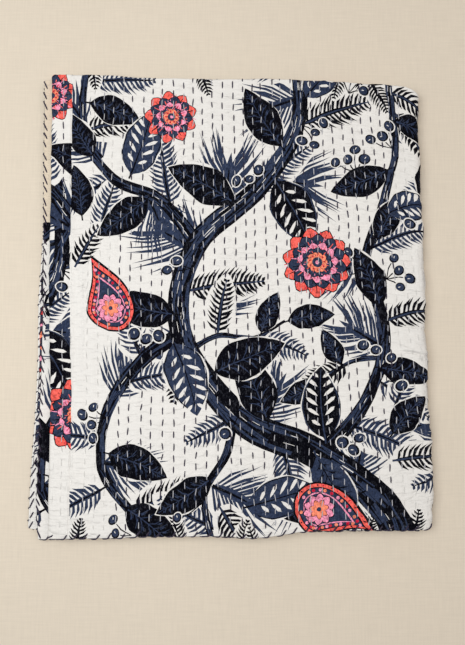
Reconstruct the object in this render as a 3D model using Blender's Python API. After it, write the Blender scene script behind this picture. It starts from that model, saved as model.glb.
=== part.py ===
"""A quilted cotton bedspread, folded flat into a packet.

The cloth is one sheet of two cotton layers held together by rows of running stitch.
It is folded in quarters along its length and then in quarters across its width, so
sixteen plies lie on each other. The packet lies on the XY plane: +X runs across it,
+Y runs up to its folded end, +Z is up. The origin is under the middle of its box.
"""

import math
from collections import namedtuple

import bmesh
import bpy
import numpy as np
from mathutils import Vector
from mathutils.geometry import delaunay_2d_cdt

# Sizes, in metres
PACKET_WIDTH = 0.571  # a 90 in wide quilt in quarters
PACKET_LENGTH = 0.686  # a 108 in long quilt in quarters
PLY = 0.0012  # two layers of cotton, sewn together
PITCH = 0.0016  # a ply and the air over it
HEM_DEPTH = 0.006  # the turned edge, pressed thinner towards its rim
HEM_PINCH = 0.55  # thickness left at the rim, as a share of the ply
FOLD_SLACK = 0.003  # how far an inner fold stops short of the fold round it
SEAM_X = -0.253  # the seam that joins two widths of cloth, beside the left fold
ROW_FIRST_X = -0.198  # the first row of running stitch right of the seam
ROW_PITCH = 0.0161
ROW_COUNT = 28
CHANNEL_RISE = 0.0013  # how far the cloth stands up between two rows
SEAM_RISE = 0.0007
FACE_INSET = 0.006  # the quilted relief starts this far inside the top face's folds
FACE_STEPS = 19  # points along each line of that relief
THIN_LEFT = 0.05  # the packet is this much thinner at its left edge than at its right
THIN_FOOT = 0.04  # and this much thinner at its hemmed end than at its folded end

BUNDLE = 4 * PITCH  # four plies, from the folds along the length
HALF_BUNDLE = 1.5 * PITCH + PLY / 2
HALF_W = PACKET_WIDTH / 2
HALF_L = PACKET_LENGTH / 2

# How far an edge stands out from the even rectangle, at places along that edge.
Out = namedtuple("Out", "along out")
HEAD_EDGE = (Out(-0.287, 0.0128), Out(-0.215, 0.0118), Out(-0.135, 0.0073), Out(-0.011, 0.0048),
             Out(0.065, 0.0052), Out(0.151, 0.0008), Out(0.240, -0.0050), Out(0.266, -0.0085),
             Out(0.2855, -0.0185))
FOOT_EDGE = (Out(-0.290, 0.0092), Out(-0.210, 0.0080), Out(-0.130, 0.0054), Out(-0.055, 0.0043),
             Out(0.011, 0.0069), Out(0.040, 0.0058), Out(0.063, 0.0028), Out(0.110, -0.0029),
             Out(0.200, -0.0040), Out(0.287, -0.0050))
LEFT_EDGE = (Out(-0.338, -0.0034), Out(-0.147, -0.0038), Out(0.003, 0.0015), Out(0.157, 0.0019),
             Out(0.345, 0.0033))
RIGHT_EDGE = (Out(-0.338, 0.0040), Out(-0.250, 0.0082), Out(-0.150, 0.0026), Out(-0.060, 0.0006),
              Out(0.080, 0.0006), Out(0.235, -0.0030), Out(0.319, -0.0040))
# How far the two side hems reach left of the even rectangle.
INNER_HEM = (Out(-0.339, 0.0142), Out(-0.266, 0.0166), Out(-0.087, 0.0135), Out(0.004, 0.0125),
             Out(0.158, 0.0150), Out(0.340, 0.0176))
OUTER_HEM = (Out(-0.335, 0.0300), Out(-0.266, 0.0278), Out(-0.117, 0.0204), Out(0.004, 0.0208),
             Out(0.111, 0.0158), Out(0.340, 0.0100))

# Each layer of the packet, top to bottom: how far its fold or hem slips along the length,
# and each ply of a bundle, outside to inside: how far its own edge slips across the width.
Layer = namedtuple("Layer", "name slip")
LAYERS = (Layer("top", 0.0), Layer("second", 0.0020), Layer("third", -0.0032), Layer("bottom", 0.0028))
HEM_STAGGER = (0.0, 0.0014, -0.0009, 0.0018)

# A place on a folded line: where it is, which way its face looks, and the layer it is in.
Place = namedtuple("Place", "a b na nb layer")


def straight(start, end, height, facing, layer, stops):
    """Places along a flat run, at each share of the way in stops."""
    return [Place(start + (end - start) * share, height, 0.0, facing, layer) for share in stops]


def bend(centre, height, radius, first, last, side, layers, steps):
    """Places round a fold; side is 1 where the cloth's face looks out of the bend."""
    places = []
    for step in range(1, steps):
        share = step / steps
        angle = math.radians(first + (last - first) * share)
        layer = layers[0] + (layers[1] - layers[0]) * share
        a, b = math.cos(angle), math.sin(angle)
        places.append(Place(centre + radius * a, height + radius * b, side * a, side * b, layer))
    return places


def width_section():
    """The quarter fold across the width: hem, inner right fold, left fold, outer right fold, hem."""
    top, second, third, bottom = (HALF_BUNDLE + BUNDLE * n for n in (3, 2, 1, 0))
    middle = (second + third) / 2
    left = -HALF_W + BUNDLE / 2 + HALF_BUNDLE
    right = HALF_W - 1.5 * BUNDLE - HALF_BUNDLE
    inner = right - FOLD_SLACK
    hem = HEM_DEPTH / PACKET_WIDTH
    coarse = (0.0, 0.2, 0.45, 0.7, 0.9, 1.0)
    face = (0.0, 0.05, 0.15, 0.3, 0.45, 0.54, 0.62, 0.72, 0.84, 0.93, 0.975, 1.0)
    places = straight(-HALF_W, inner, third, 1.0, 2.0, (0.0, hem) + coarse[1:])
    places += bend(inner, middle, BUNDLE / 2, -90, 90, -1, (2, 1), 4)
    places += straight(inner, left, second, -1.0, 1.0, coarse)
    places += bend(left, (top + second) / 2, BUNDLE / 2, 270, 90, 1, (1, 0), 4)
    places += straight(left, right, top, 1.0, 0.0, face)
    places += bend(right, middle, 1.5 * BUNDLE, 90, -90, 1, (0, 3), 7)
    places += straight(right, -HALF_W, bottom, -1.0, 3.0, coarse[:-1] + (1.0 - hem, 1.0))
    return places


def length_section():
    """The quarter fold along the length: hem, outer head fold, foot fold, inner head fold, hem."""
    head = HALF_L - HALF_BUNDLE
    inner = head - FOLD_SLACK
    foot = -HALF_L + 0.5 * PITCH + PLY / 2
    hem = HEM_DEPTH / PACKET_LENGTH
    up = (0.12, 0.26, 0.38, 0.53, 0.7, 0.84, 0.95)
    down = tuple(1.0 - share for share in reversed(up))
    places = straight(-HALF_L, head, 1.5 * PITCH, 1.0, 0.0, (0.0, hem) + up + (1.0,))
    places += bend(head, 0.0, 1.5 * PITCH, 90, -90, 1, (0, 3), 4)
    places += straight(head, foot, -1.5 * PITCH, -1.0, 3.0, (0.0,) + down + (1.0,))
    places += bend(foot, -PITCH, 0.5 * PITCH, 270, 90, 1, (3, 2), 3)
    places += straight(foot, inner, -0.5 * PITCH, 1.0, 2.0, (0.0,) + up + (1.0,))
    places += bend(inner, 0.0, 0.5 * PITCH, -90, 90, -1, (2, 1), 3)
    places += straight(inner, -HALF_L, 0.5 * PITCH, -1.0, 1.0, (0.0,) + down + (1.0 - hem, 1.0))
    return places


def out_at(edge, along):
    return float(np.interp(along, [row.along for row in edge], [row.out for row in edge]))


def uneven(x, y, layer):
    """Moves a point of the even packet to its place in the real, uneven one."""
    across = min(max(x / PACKET_WIDTH + 0.5, 0.0), 1.0)
    up = min(max(y / PACKET_LENGTH + 0.5, 0.0), 1.0)
    left = -out_at(LEFT_EDGE, y)
    if layer > 1.5:
        hems = (-out_at(INNER_HEM, y), -out_at(OUTER_HEM, y))
        lower = min(max(layer - 2.0, 0.0), 1.0)
        left = hems[0] + (hems[1] - hems[0]) * lower
    moved_x = x + left * (1.0 - across) + out_at(RIGHT_EDGE, y) * across
    moved_y = y - out_at(FOOT_EDGE, x) * (1.0 - up) + out_at(HEAD_EDGE, x) * up
    slip = np.interp(layer, range(len(LAYERS)), [row.slip for row in LAYERS])
    return moved_x, moved_y + float(slip)


def settle(x, y, z):
    """Presses the packet a little thinner towards its left edge and its hemmed end."""
    return z * (1.0 - THIN_LEFT * (0.5 - x / PACKET_WIDTH) - THIN_FOOT * (0.5 - y / PACKET_LENGTH))


def ply_point(wide, long, side, rim):
    """The point of one face of the cloth, where a place on each folded line meets the other."""
    half = side * PLY / 2 * (HEM_PINCH if rim else 1.0)
    y = long.a + half * long.na
    off = long.b + half * long.nb
    x = wide.a + off * wide.na
    z = wide.b + off * wide.nb
    if rim and wide.layer in (2.0, 3.0):
        x += float(np.interp(long.layer, range(4), HEM_STAGGER))
    x, y = uneven(x, y, wide.layer)
    return x, y, settle(x, y, z)


def channel_rise(x, y):
    """How far the top face stands up at a point: full between rows of stitch, nothing on one."""
    seam = SEAM_RISE * abs(math.sin(math.pi * (x - SEAM_X) / (2 * ROW_PITCH)))
    row = (x - ROW_FIRST_X) / ROW_PITCH
    if row < 0.0 or row > ROW_COUNT - 1:
        return seam if x < ROW_FIRST_X else SEAM_RISE
    channel = int(row) + 1
    fullness = 0.78 + 0.22 * math.sin(2.4 * channel + 19.0 * y) * math.cos(1.3 * channel - 31.0 * y)
    return CHANNEL_RISE * fullness * abs(math.sin(math.pi * row))


def face_lines(first, last):
    """The x of each line of points on the top face: on each row, between rows, and at the seam."""
    lines = [ROW_FIRST_X + ROW_PITCH * half / 2 for half in range(2 * ROW_COUNT - 1)]
    lines += [SEAM_X + offset * ROW_PITCH for offset in (-0.6, 0.0, 0.6, 1.5, 2.5)]
    return sorted(x for x in lines if first < x < last)


def quilted_face(grid, first, wide, long, columns, rows):
    """New points of the top face, numbered from first, and its triangles between them and the grid."""
    (c0, c1), (r0, r1) = columns, rows
    loop = [(c, r0) for c in range(c0, c1)] + [(c1, r) for r in range(r0, r1)]
    loop += [(c, r1) for c in range(c1, c0, -1)] + [(c0, r) for r in range(r1, r0, -1)]
    flat = [Vector((wide[c].a, long[r].a)) for c, r in loop]
    ys = np.linspace(long[r0].a + FACE_INSET, long[r1].a - FACE_INSET, FACE_STEPS)
    xs = face_lines(wide[c0].a + FACE_INSET, wide[c1].a - FACE_INSET)
    inner = [(x, y) for x in xs for y in ys]
    verts = flat + [Vector(point) for point in inner]
    edges = [(n, (n + 1) % len(loop)) for n in range(len(loop))]
    made = delaunay_2d_cdt(verts, edges, [], 1, 1e-7)
    triangles, source = made[2], made[3]
    height = wide[c0].b + long[r0].b + PLY / 2
    points = []
    for x, y in inner:
        moved = uneven(x, y, 0.0)
        points.append((*moved, settle(*moved, height + channel_rise(x, y))))
    index = [grid[cell] for cell in loop] + [first + n for n in range(len(points))]
    return points, [tuple(index[source[v][0]] for v in triangle) for triangle in triangles]


def build_quilt():
    wide, long = width_section(), length_section()
    columns, rows = len(wide), len(long)
    points, index = [], {}
    for side in (1, -1):
        for c, across in enumerate(wide):
            for r, along in enumerate(long):
                rim = c in (0, columns - 1) or r in (0, rows - 1)
                index[side, c, r] = len(points)
                points.append(ply_point(across, along, side, rim))
    face_columns = [c for c, place in enumerate(wide) if place.layer == 0.0]
    face_rows = [r for r, place in enumerate(long) if place.layer == 0.0]
    c0, c1 = face_columns[0], face_columns[-1]
    r0, r1 = face_rows[1], face_rows[-1]
    faces = []
    for side in (1, -1):
        for c in range(columns - 1):
            for r in range(rows - 1):
                if side == 1 and c0 <= c < c1 and r0 <= r < r1:
                    continue
                a, b = index[side, c, r], index[side, c + 1, r]
                d, e = index[side, c, r + 1], index[side, c + 1, r + 1]
                faces += [(a, b, e), (a, e, d)]
    top = {(c, r): index[1, c, r] for c in range(c0, c1 + 1) for r in range(r0, r1 + 1)}
    raised, triangles = quilted_face(top, len(points), wide, long, (c0, c1), (r0, r1))
    points += raised
    faces += triangles
    rim = [(c, 0) for c in range(columns - 1)] + [(columns - 1, r) for r in range(rows - 1)]
    rim += [(c, rows - 1) for c in range(columns - 1, 0, -1)] + [(0, r) for r in range(rows - 1, 0, -1)]
    for here, there in zip(rim, rim[1:] + rim[:1]):
        a, b = index[(1, *here)], index[(1, *there)]
        d, e = index[(-1, *here)], index[(-1, *there)]
        faces += [(a, b, e), (a, e, d)]
    return points, faces


def to_mesh(name, points, faces):
    """A mesh with its faces looking out, stood with the origin under the middle of its box."""
    low, high = np.min(points, axis=0), np.max(points, axis=0)
    shift = Vector((-(low[0] + high[0]) / 2, -(low[1] + high[1]) / 2, -low[2]))
    bm = bmesh.new()
    verts = [bm.verts.new(Vector(point) + shift) for point in points]
    for face in faces:
        bm.faces.new([verts[v] for v in face])
    bmesh.ops.recalc_face_normals(bm, faces=bm.faces)
    mesh = bpy.data.meshes.new(name)
    bm.to_mesh(mesh)
    bm.free()
    mesh.shade_smooth()
    mesh.set_sharp_from_angle(angle=math.radians(40))
    return mesh


def cotton():
    material = bpy.data.materials.new("printed_cotton")
    material.use_nodes = True
    shader = material.node_tree.nodes["Principled BSDF"]
    shader.inputs["Base Color"].default_value = (0.52, 0.52, 0.53, 1.0)
    shader.inputs["Roughness"].default_value = 0.88
    shader.inputs["Metallic"].default_value = 0.0
    return material


def main():
    for thing in list(bpy.context.scene.objects):
        bpy.data.objects.remove(thing, do_unlink=True)
    points, faces = build_quilt()
    quilt = bpy.data.objects.new("quilt", to_mesh("quilt", points, faces))
    quilt.data.materials.append(cotton())
    bpy.context.scene.collection.objects.link(quilt)


main()
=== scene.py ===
import math

import bpy
import numpy as np
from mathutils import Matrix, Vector
from mathutils.bvhtree import BVHTree
from mathutils.geometry import delaunay_2d_cdt


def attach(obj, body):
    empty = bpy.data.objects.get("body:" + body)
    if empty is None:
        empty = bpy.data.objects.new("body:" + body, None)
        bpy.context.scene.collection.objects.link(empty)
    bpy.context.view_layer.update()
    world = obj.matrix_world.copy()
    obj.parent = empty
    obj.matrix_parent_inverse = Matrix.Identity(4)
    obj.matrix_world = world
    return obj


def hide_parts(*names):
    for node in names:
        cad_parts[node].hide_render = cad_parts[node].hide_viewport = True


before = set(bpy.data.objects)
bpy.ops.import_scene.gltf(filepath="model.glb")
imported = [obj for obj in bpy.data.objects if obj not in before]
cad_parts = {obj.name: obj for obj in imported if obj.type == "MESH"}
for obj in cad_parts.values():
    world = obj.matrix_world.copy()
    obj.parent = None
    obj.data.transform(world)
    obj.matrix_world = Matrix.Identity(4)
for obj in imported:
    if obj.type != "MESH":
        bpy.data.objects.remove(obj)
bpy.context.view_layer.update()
scene = bpy.context.scene
print("frame loaded")

# the packet's sizes, in metres, as the solid has them
packet = dict(width=0.571, length=0.686, ply=0.0012, pitch=0.0016, foldSlack=0.003, seamX=-0.253, thinLeft=0.05,
              thinFoot=0.04, slips=(0.0, 0.0020, -0.0032, 0.0028), tuck=0.0075, reliefFade=0.012, foldFade=0.02,
              staggers=(0.0, 0.0014, -0.0009, 0.0018), toRow=(0.01177, -0.00158, 0.0), flat=(2.286, 2.743))
# a hem is thin at its rim, and its turned edge is a low ridge beside it
hem = dict(pinch=0.55, pinchReach=0.002, ridge=0.16, ridgeAt=0.005, ridgeHalf=0.0035)
# how far an edge stands out from the even rectangle: (place along it, how far out)
edges = dict(
    head=((-0.287, 0.0128), (-0.215, 0.0118), (-0.135, 0.0073), (-0.011, 0.0048), (0.065, 0.0052), (0.151, 0.0008),
          (0.240, -0.0050), (0.266, -0.0085), (0.2855, -0.0185)),
    foot=((-0.290, 0.0092), (-0.210, 0.0080), (-0.130, 0.0054), (-0.055, 0.0043), (0.011, 0.0069), (0.040, 0.0058),
          (0.063, 0.0028), (0.110, -0.0029), (0.200, -0.0040), (0.287, -0.0050)),
    left=((-0.338, -0.0034), (-0.147, -0.0038), (0.003, 0.0015), (0.157, 0.0019), (0.345, 0.0033)),
    right=((-0.338, 0.0040), (-0.250, 0.0082), (-0.150, 0.0026), (-0.060, 0.0006), (0.080, 0.0006),
           (0.235, -0.0030), (0.319, -0.0040)),
    innerHem=((-0.339, 0.0142), (-0.266, 0.0166), (-0.087, 0.0135), (0.004, 0.0125), (0.158, 0.0150),
              (0.340, 0.0176)),
    outerHem=((-0.335, 0.0300), (-0.266, 0.0278), (-0.117, 0.0204), (0.004, 0.0208), (0.111, 0.0158),
              (0.340, 0.0100)))


def unit(vectors):
    return vectors / (np.linalg.norm(vectors, axis=-1, keepdims=True) + 1e-12)


def smoothPath(points, steps=8):
    # a smooth curve through all the points
    p = np.array([points[0], *points, points[-1]], dtype=float)
    t = np.linspace(0, 1, steps, endpoint=False)[:, None]
    runs = [0.5 * (2 * b + (c - a) * t + (2 * a - 5 * b + 4 * c - d) * t**2 + (3 * b - a - 3 * c + d) * t**3)
            for a, b, c, d in zip(p, p[1:], p[2:], p[3:])]
    return np.vstack(runs + [p[-1:]])


smoothEdges = {name: smoothPath(table, 12) for name, table in edges.items()}


def outAt(name, along):
    line = smoothEdges[name]
    return np.interp(along, line[:, 0], line[:, 1])


# a folded line is flat runs and bends; a place on it is known by its length along the cloth
class FoldLine:
    def __init__(self, *parts):
        self.parts = parts
        self.sizes = [abs(p["to"] - p["start"]) if "to" in p
                      else p["radius"] * math.radians(abs(p["last"] - p["first"])) for p in parts]
        self.starts = np.concatenate([[0], np.cumsum(self.sizes)])
        self.length = self.starts[-1]

    def at(self, t):
        # across, up, the way the face looks (across, up), and the layer or ply, for each length t
        out = np.zeros((5, len(t)))
        which = np.clip(np.searchsorted(self.starts, t, side="right") - 1, 0, len(self.parts) - 1)
        for n, p in enumerate(self.parts):
            here = which == n
            share = (t[here] - self.starts[n]) / self.sizes[n]
            same = np.ones(len(share))
            if "to" in p:
                out[:, here] = (p["start"] + (p["to"] - p["start"]) * share, p["height"] * same, 0 * same,
                                p["face"] * same, p["layer"] * same)
            else:
                turn = np.radians(p["first"] + (p["last"] - p["first"]) * share)
                c, s = np.cos(turn), np.sin(turn)
                out[:, here] = (p["centre"] + p["radius"] * c, p["height"] + p["radius"] * s, p["side"] * c,
                                p["side"] * s, p["layers"][0] + (p["layers"][1] - p["layers"][0]) * share)
        return out

    def stops(self, steps):
        # places of the mesh's lines; a step is a length on a run, and a number of pieces on a bend
        found = []
        for n, (part, step) in enumerate(zip(self.parts, steps)):
            count = max(1, round(self.sizes[n] / step)) if "to" in part else step
            found.append(self.starts[n] + self.sizes[n] * np.arange(count) / count)
        return np.concatenate(found + [[self.length]])


bundle = 4 * packet["pitch"]  # four plies, from the folds along the length
halfBundle = 1.5 * packet["pitch"] + packet["ply"] / 2
halfW, halfL = packet["width"] / 2, packet["length"] / 2
heights = [halfBundle + bundle * n for n in (3, 2, 1, 0)]  # of the four layers, top to bottom
middle = (heights[1] + heights[2]) / 2
leftFold = -halfW + bundle / 2 + halfBundle
rightFold = halfW - 1.5 * bundle - halfBundle
innerFold = rightFold - packet["foldSlack"]
headFold = halfL - halfBundle
innerHead = headFold - packet["foldSlack"]
footFold = -halfL + 0.5 * packet["pitch"] + packet["ply"] / 2
acrossLine = FoldLine(
    dict(start=-halfW, to=innerFold, height=heights[2], face=1, layer=2),
    dict(centre=innerFold, height=middle, radius=bundle / 2, first=-90, last=90, side=-1, layers=(2, 1)),
    dict(start=innerFold, to=leftFold, height=heights[1], face=-1, layer=1),
    dict(centre=leftFold, height=(heights[0] + heights[1]) / 2, radius=bundle / 2, first=270, last=90, side=1,
         layers=(1, 0)),
    dict(start=leftFold, to=rightFold, height=heights[0], face=1, layer=0),
    dict(centre=rightFold, height=middle, radius=1.5 * bundle, first=90, last=-90, side=1, layers=(0, 3)),
    dict(start=rightFold, to=-halfW, height=heights[3], face=-1, layer=3))
alongLine = FoldLine(
    dict(start=-halfL, to=headFold, height=1.5 * packet["pitch"], face=1, layer=0),
    dict(centre=headFold, height=0, radius=1.5 * packet["pitch"], first=90, last=-90, side=1, layers=(0, 3)),
    dict(start=headFold, to=footFold, height=-1.5 * packet["pitch"], face=-1, layer=3),
    dict(centre=footFold, height=-packet["pitch"], radius=0.5 * packet["pitch"], first=270, last=90, side=1,
         layers=(3, 2)),
    dict(start=footFold, to=innerHead, height=-0.5 * packet["pitch"], face=1, layer=2),
    dict(centre=innerHead, height=0, radius=0.5 * packet["pitch"], first=-90, last=90, side=-1, layers=(2, 1)),
    dict(start=innerHead, to=-halfL, height=0.5 * packet["pitch"], face=-1, layer=1))
# the cloth's own places are (s, v), across and along; on the top face x = s - faceS and y = v - faceV
wide, long = acrossLine.length, alongLine.length
sAt, vAt = acrossLine.starts, alongLine.starts
faceS, faceV = sAt[4] - leftFold, halfL
seamS = packet["seamX"] + faceS

# camera: nearly straight above, a little towards the foot
view = dict(place=(-0.0075, -0.0889, 0.9298), tilt=3.67, focalPixels=600, longSide=645, sensor=36)
cameraData = bpy.data.cameras.new("camera")
cameraData.sensor_width = view["sensor"]
cameraData.lens = view["focalPixels"] * view["sensor"] / view["longSide"]
camera = bpy.data.objects.new("camera", cameraData)
camera.location = Vector(view["place"]) + Vector(packet["toRow"])
camera.rotation_euler = (math.radians(view["tilt"]), 0, 0)
scene.collection.objects.link(camera)
scene.camera = camera
print("camera placed")

# relief of the quilted cloth: rows of running stitch, the puckers between them, and creases
relief = dict(rise=0.0011, grooveHalf=0.0036, pucker=0.00075, roll=0.0009, seam=0.0007, seamRidge=0.0034,
              seamRidgeHalf=0.0022, seamGroove=0.0013, underRise=0.0007, lowest=-0.0002, rowFirstX=-0.2267,
              rowPitch=0.0161, rowCount=32, stripRow=-0.2656, wander=(0.0012, 0.0015, 0.0007), fan=0.18,
              fanFrom=-0.086)
stitch = dict(dash=0.0100, pitch=0.0172, radius=0.00085, lift=0.00055, sink=0.0009, slant=0.00035, sides=5, points=7,
              whiteRows=3, whiteFrom=0.237, stripDark=0.135)
dice = np.random.default_rng(5)
rowXs = np.array([relief["stripRow"]]
                 + [relief["rowFirstX"] + relief["rowPitch"] * n for n in range(relief["rowCount"])])
rowPhase = dice.uniform(0, stitch["pitch"], len(rowXs))
rowDrift = dice.uniform(-1, 1, (len(rowXs), 3))
ripples = [(dice.uniform(0.009, 0.024), dice.normal(0, 0.30), dice.uniform(0, 6.28), dice.uniform(0.5, 1.0))
           for n in range(16)]
rolls = [(dice.uniform(0.07, 0.20), dice.uniform(0, 3.14), dice.uniform(0, 6.28)) for n in range(7)]
# creases listed one by one: x and y of both ends, half width, rise
creases = ((0.243, -0.0695, 0.286, -0.0740, 0.0034, 0.0026), (0.240, -0.0750, 0.289, -0.0790, 0.0015, -0.0034),
           (0.240, -0.0310, 0.289, -0.0350, 0.0028, 0.0016), (0.242, -0.0350, 0.286, -0.0385, 0.0014, -0.0024),
           (0.240, -0.1000, 0.262, -0.0860, 0.0015, -0.0028), (0.246, -0.1130, 0.276, -0.1190, 0.0015, -0.0024),
           (0.262, -0.020, 0.266, -0.170, 0.0040, 0.0009), (-0.245, 0.318, -0.170, 0.312, 0.0040, 0.0009),
           (-0.240, 0.285, -0.205, 0.290, 0.0040, 0.0008), (0.200, 0.300, 0.262, 0.270, 0.0050, 0.0010),
           (0.250, 0.120, 0.284, 0.128, 0.0040, 0.0010), (-0.230, -0.250, -0.200, -0.256, 0.0040, 0.0009),
           (0.225, -0.290, 0.282, -0.283, 0.0040, 0.0011))


def fanned(x, y):
    # the rows lie a little further apart towards the foot
    return np.where(x > packet["seamX"], x - relief["fan"] * y * (x - relief["fanFrom"]), x)


def rowPlace(n, y):
    # and were sewn by eye, so each one wanders
    a, b, c = rowDrift[n]
    shift, slow, quick = relief["wander"]
    return fanned(rowXs[n], y) + shift * a + slow * b * np.sin(9 * y + 6 * c) + quick * a * np.sin(31 * y + 9 * b)


def grooveAt(x, y):
    # 1 on a stitched row and 0 between rows, deeper under a stitch than beside it
    near, along = np.full(len(x), 9.0), np.zeros(len(x))
    for n in range(len(rowXs)):
        gap = np.abs(x - rowPlace(n, y))
        here = gap < near
        near = np.where(here, gap, near)
        along = np.where(here, np.cos(2 * math.pi * (y - rowPhase[n]) / stitch["pitch"]), along)
    deep = 0.80 + 0.20 * np.sin(41 * y + 6 * np.sin(130 * x))
    return np.exp(-((near / relief["grooveHalf"]) ** 2)) * (0.72 - 0.28 * along) * deep, near


def faceRise(x, y):
    # how high the printed face stands over an even ply
    groove, near = grooveAt(x, y)
    fullness = np.clip(1.4 - near / 0.02, 0.35, 1.0)
    fine = sum(share * np.sin(2 * math.pi * (y * math.cos(lean) + x * math.sin(lean)) / size + phase
                              + 2.0 * np.sin(23 * x + phase)) for size, lean, phase, share in ripples)
    broad = sum(np.sin(2 * math.pi * (y * math.cos(lean) + x * math.sin(lean)) / size + phase)
                for size, lean, phase in rolls)
    patch = 0.55 + 0.45 * np.sin(19 * x + 2.1 * np.sin(11 * y)) * np.sin(17 * y + 1.3)
    rise = relief["rise"] * (1 - groove) * fullness + relief["pucker"] * fine / 2.2 * patch * (1 - 0.5 * groove)
    rise += relief["roll"] * (broad / 5 + 0.5)
    toSeam = np.abs(x - packet["seamX"])
    rise += relief["seam"] * (np.exp(-(((toSeam - relief["seamRidge"]) / relief["seamRidgeHalf"]) ** 2))
                              - 1.3 * np.exp(-((toSeam / relief["seamGroove"]) ** 2)))
    for x0, y0, x1, y1, half, height in creases:
        ax, ay = x1 - x0, y1 - y0
        share = np.clip(((x - x0) * ax + (y - y0) * ay) / (ax * ax + ay * ay), 0, 1)
        away = np.hypot(x - x0 - ax * share, y - y0 - ay * share)
        rise += height * np.sin(math.pi * (0.05 + 0.9 * share)) * np.exp(-((away / half) ** 2))
    above = rise - relief["lowest"]  # never so low that the cloth behind it comes through
    return relief["lowest"] + (above + np.sqrt(above**2 + 0.0005**2)) / 2


def onQuilt(s, v, side, lift=0.0):
    # where the cloth's place (s, v) lies in the row's frame; side is 1 on the printed face and -1 behind it
    s, v = np.asarray(s, dtype=float), np.asarray(v, dtype=float)
    toHem = np.minimum.reduce([s, wide - s, v, long - v])
    pinch = hem["pinch"] + (1 - hem["pinch"]) * np.clip(toHem / hem["pinchReach"], 0, 1) ** 0.5
    pinch = pinch + hem["ridge"] * np.exp(-(((toHem - hem["ridgeAt"]) / hem["ridgeHalf"]) ** 2))
    half = side * packet["ply"] / 2 * pinch + lift
    # the relief fades out towards the hems and the folds
    fade, foldFade = packet["reliefFade"], packet["foldFade"]
    x, y = s - faceS, v - faceV
    outer = np.clip((vAt[2] + 0.001 - v) / fade, 0, 1) * np.clip(0.25 + toHem / fade, 0, 1)
    top = np.clip((s - sAt[3]) / fade, 0, 1) * np.clip((sAt[6] - s) / foldFade, 0, 1) * outer
    under = np.clip((s - sAt[6]) / foldFade, 0, 1) * outer
    onTop, below = top > 0, under > 0
    printed = np.broadcast_to((1 + side) / 2, s.shape)  # the cloth's back stays even
    half[onTop] += faceRise(x[onTop], y[onTop]) * top[onTop] * printed[onTop]
    groove, near = grooveAt(wide - s[below] - halfW, y[below])
    half[below] -= relief["underRise"] * groove * under[below] * printed[below]
    la, lb, lna, lnb, ply = alongLine.at(v)
    wa, wb, wna, wnb, layer = acrossLine.at(s)
    y = la + half * lna
    off = lb + half * lnb
    x = wa + off * wna
    z = wb + off * wnb
    x = x + np.interp(ply, range(4), packet["staggers"]) * np.clip(1 - np.minimum(s, wide - s) / 0.04, 0, 1)
    across, up = np.clip(x / packet["width"] + 0.5, 0, 1), np.clip(y / packet["length"] + 0.5, 0, 1)
    lower = np.clip(layer - 2, 0, 1)
    hems = outAt("innerHem", y) * (1 - lower) + outAt("outerHem", y) * lower
    left = np.where(layer > 1.5, hems, outAt("left", y))
    waver = 0.0004 * np.sin(150 * y + 2.1 * layer + ply) + 0.0003 * np.sin(61 * y + 4 * ply)  # edges are never even
    lumps = 0.0007 * np.sin(133 * y + 3 * np.sin(37 * y)) + 0.0006 * np.sin(58 * y + 1)
    movedX = x - (left + waver) * (1 - across) + (outAt("right", y) + waver + lumps) * across**3
    waver = 0.0004 * np.sin(140 * x + 2.3 * ply + layer) + 0.0004 * np.sin(57 * x + 3 * layer)
    movedY = y - (outAt("foot", x) + waver) * (1 - up) + (outAt("head", x) + waver) * up
    movedY = movedY + np.interp(layer, range(4), packet["slips"])
    movedY = movedY + packet["tuck"] * lower * (1 - up) ** 8 * np.clip(1 - across * 8, 0, 1)
    toLeft, toFoot = 0.5 - movedX / packet["width"], 0.5 - movedY / packet["length"]
    z = z * (1 - packet["thinLeft"] * toLeft - packet["thinFoot"] * toFoot)
    return np.stack([movedX, movedY, z], -1) + packet["toRow"]


def lookingOut(s, v, side):
    # which way the face looks at each place
    d = 0.0004
    across = onQuilt(s + d, v, side) - onQuilt(s - d, v, side)
    along = onQuilt(s, v + d, side) - onQuilt(s, v - d, side)
    return unit(np.cross(across, along) * np.asarray(side)[:, None])


print("folds and relief ready")

# the print: flat shapes laid over each other, in metres on the face; vines, leaves, rosettes and paisley drops
paints = dict(ground=(230, 228, 225), navy=(46, 56, 80), ink=(8, 8, 15), coral=(240, 100, 90), pink=(240, 150, 180),
              crimson=(200, 30, 60), peach=(245, 140, 110), cream=(222, 208, 188))
paintNames = list(paints)
# sizes of the motifs' parts, in metres, and how many a leaf has of them
motif = dict(gapRound=0.0032, waver=0.03, veins=8, veinWidth=0.0014, slots=6, slotHalf=0.0027, fernBow=0.1,
             leaflets=dict(gap=0.0076, thick=0.0045), smallLeaflets=dict(gap=0.0056, thick=0.0034), needle=0.0043,
             berryGap=0.021, berryRadius=0.0088, scallops=26)
shapes = []
dice = np.random.default_rng(11)


def lay(points, paint):
    points = np.asarray(points, dtype=float)
    x, y = points.T
    area = (x * np.roll(y, -1) - y * np.roll(x, -1)).sum()
    shapes.append((points if area > 0 else points[::-1], paint, abs(area) / 2))  # counter-clockwise, to be cut up


def turned(points, angle, place=(0.0, 0.0)):
    c, s = math.cos(angle), math.sin(angle)
    return np.asarray(points, dtype=float) @ np.array([[c, s], [-s, c]]) + np.asarray(place)


def toward(angle):
    return np.array([math.cos(angle), math.sin(angle)])


def sideways(path):
    way = unit(np.gradient(path, axis=0))
    return np.stack([-way[:, 1], way[:, 0]], 1)


def ribbon(path, halves, paint):
    side = sideways(path) * np.asarray(halves)[:, None]
    lay(np.vstack([path + side, (path - side)[::-1]]), paint)


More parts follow.
